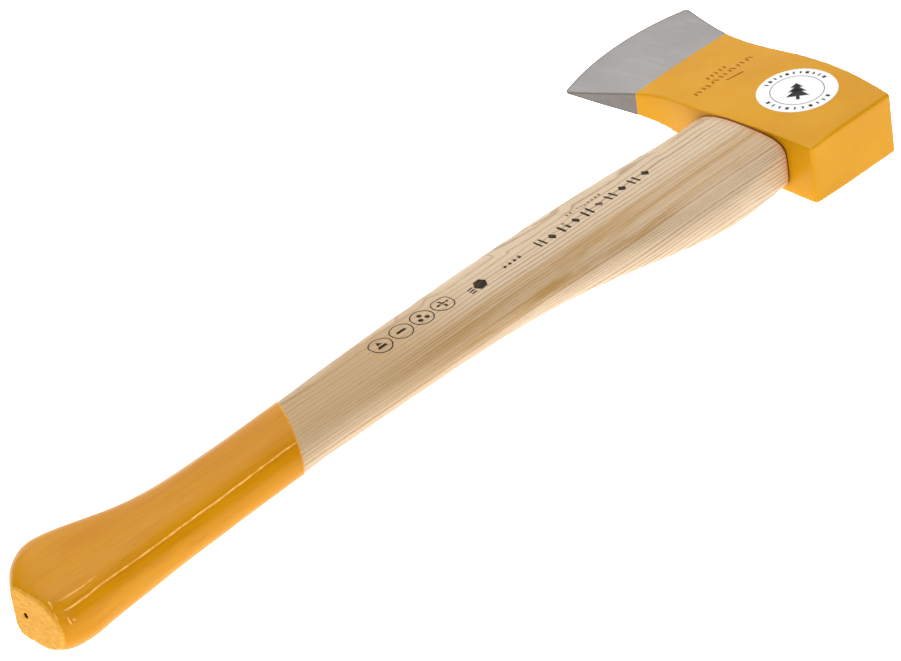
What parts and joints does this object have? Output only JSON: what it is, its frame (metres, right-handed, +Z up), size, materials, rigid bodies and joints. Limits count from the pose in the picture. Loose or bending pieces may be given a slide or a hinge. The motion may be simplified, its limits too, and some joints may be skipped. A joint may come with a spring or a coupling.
{
  "type": "hand axe",
  "caption": "Felling and splitting axe: painted steel head with a flared bare bit, wedged on a curved ash handle whose grip is dipped in lacquer.",
  "frame": {"origin": "bottom centre of the whole axe's box, as it lies on its cheek", "axes": "+X along the handle towards the head, +Y from the poll towards the cutting edge, +Z up through the cheeks"},
  "size_m": [0.5276, 0.1636, 0.0333],
  "materials": {
    "bare_steel": "ground across the bit, satin",
    "head_paint": "orange-yellow enamel, semi-gloss, slightly uneven",
    "ash_wood": "sanded ash, thin clear oil",
    "grip_lacquer": "dipped orange-yellow lacquer over wood, gloss",
    "wedge_wood": "sawn hardwood, raw",
    "wedge_steel": "plain steel",
    "label_paper": null
  },
  "bodies": {
    "root": {"head": "bare_steel", "head_paint": "head_paint", "handle": "ash_wood", "dip_coat": "grip_lacquer", "wooden_wedge": "wedge_wood", "ring_wedge": "wedge_steel", "label": "label_paper"}
  },
  "joints": []
}
